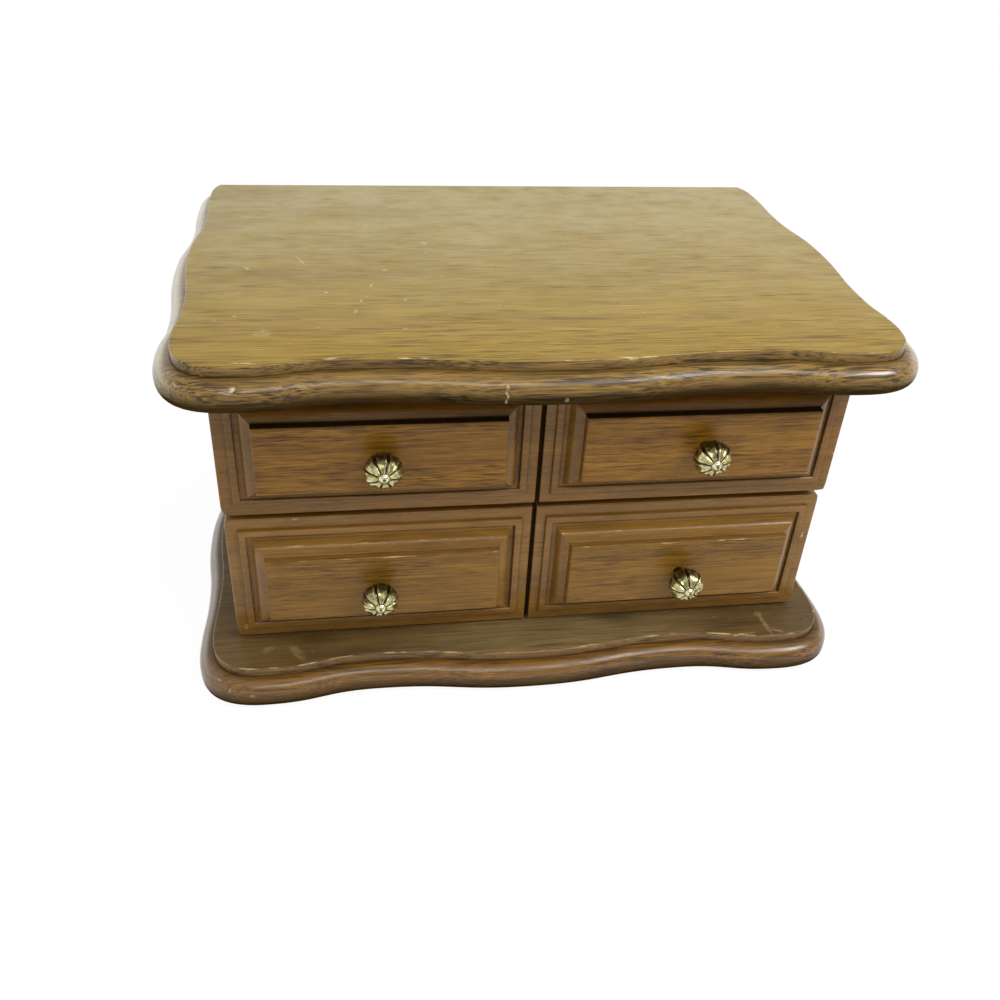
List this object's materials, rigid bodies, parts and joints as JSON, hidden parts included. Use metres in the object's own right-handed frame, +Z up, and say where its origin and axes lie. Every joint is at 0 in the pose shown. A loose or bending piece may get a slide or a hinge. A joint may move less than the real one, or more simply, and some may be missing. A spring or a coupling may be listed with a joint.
{
  "type": "jewelry chest",
  "caption": "Small wooden jewelry chest with a serpentine hinged lid over a lined compartment, a full-width drawer and brass knobs.",
  "frame": {"origin": "on the ground under the centre of the whole width and depth of the closed chest", "axes": "+X to the right, -Y to the front with the knobs, +Z up"},
  "size_m": [0.2888, 0.2064, 0.1613],
  "materials": {
    "lid_wood": "oiled open-grain hardwood, satin, light wear",
    "front_wood": "warm lacquered hardwood, satin with worn glossy edges",
    "base_wood": "dull dusty hardwood",
    "case_wood": "lacquered hardwood, satin",
    "inner_wood": "plain unfinished softwood",
    "antique_brass": "antiqued, dark in the grooves",
    "brass": "satin",
    "steel": "plain screws",
    "mirror": "polished",
    "velvet": "short pile velvet",
    "felt": "felt"
  },
  "bodies": {
    "case": {"base_board": "base_wood", "base_screws": "steel", "case_back": "case_wood", "case_side_left": "case_wood", "case_side_right": "case_wood", "compartment_floor": "inner_wood", "compartment_lining_back": "velvet", "compartment_lining_floor": "velvet", "compartment_lining_front": "velvet", "compartment_lining_left": "velvet", "compartment_lining_right": "velvet", "drawer_runner_left": "inner_wood", "drawer_runner_right": "inner_wood", "felt_pad_back_left": "felt", "felt_pad_back_right": "felt", "felt_pad_front_left": "felt", "felt_pad_front_right": "felt", "hinge_leaf_fixed_left": "brass", "hinge_leaf_fixed_right": "brass", "hinge_pin_left": "brass", "hinge_pin_right": "brass", "hinge_screws_case": "brass", "lid_bumpers": "felt", "partition_cross": "velvet", "partition_main": "velvet", "partition_short": "velvet", "ring_platform": "velvet", "ring_roll_1": "velvet", "ring_roll_2": "velvet", "ring_roll_3": "velvet", "ring_roll_4": "velvet", "ring_roll_5": "velvet", "ring_roll_6": "velvet", "ring_roll_7": "velvet", "upper_front": "front_wood", "upper_front_backer": "inner_wood", "upper_knob_left": "antique_brass", "upper_knob_right": "antique_brass", "upper_knob_screws": "steel"},
    "lid": {"hinge_leaf_moving_left": "brass", "hinge_leaf_moving_right": "brass", "hinge_screws_lid": "brass", "lid_board": "lid_wood", "mirror_frame": "inner_wood", "mirror_glass": "mirror"},
    "drawer": {"drawer_back": "inner_wood", "drawer_bottom": "inner_wood", "drawer_front": "front_wood", "drawer_inner_front": "inner_wood", "drawer_knob_left": "antique_brass", "drawer_knob_right": "antique_brass", "drawer_knob_screws": "steel", "drawer_lining_back": "velvet", "drawer_lining_floor": "velvet", "drawer_lining_front": "velvet", "drawer_lining_left": "velvet", "drawer_lining_right": "velvet", "drawer_side_left": "inner_wood", "drawer_side_right": "inner_wood"}
  },
  "joints": [
    {"name": "lid_hinge", "type": "hinge", "parent": "case", "child": "lid", "pos_m": [0, 0.0997, 0.14505], "axis": [-1, 0, 0], "range_deg": [0, 100]},
    {"name": "drawer_slide", "type": "slide", "parent": "case", "child": "drawer", "axis": [0, -1, 0], "range_m": [0, 0.11]}
  ]
}
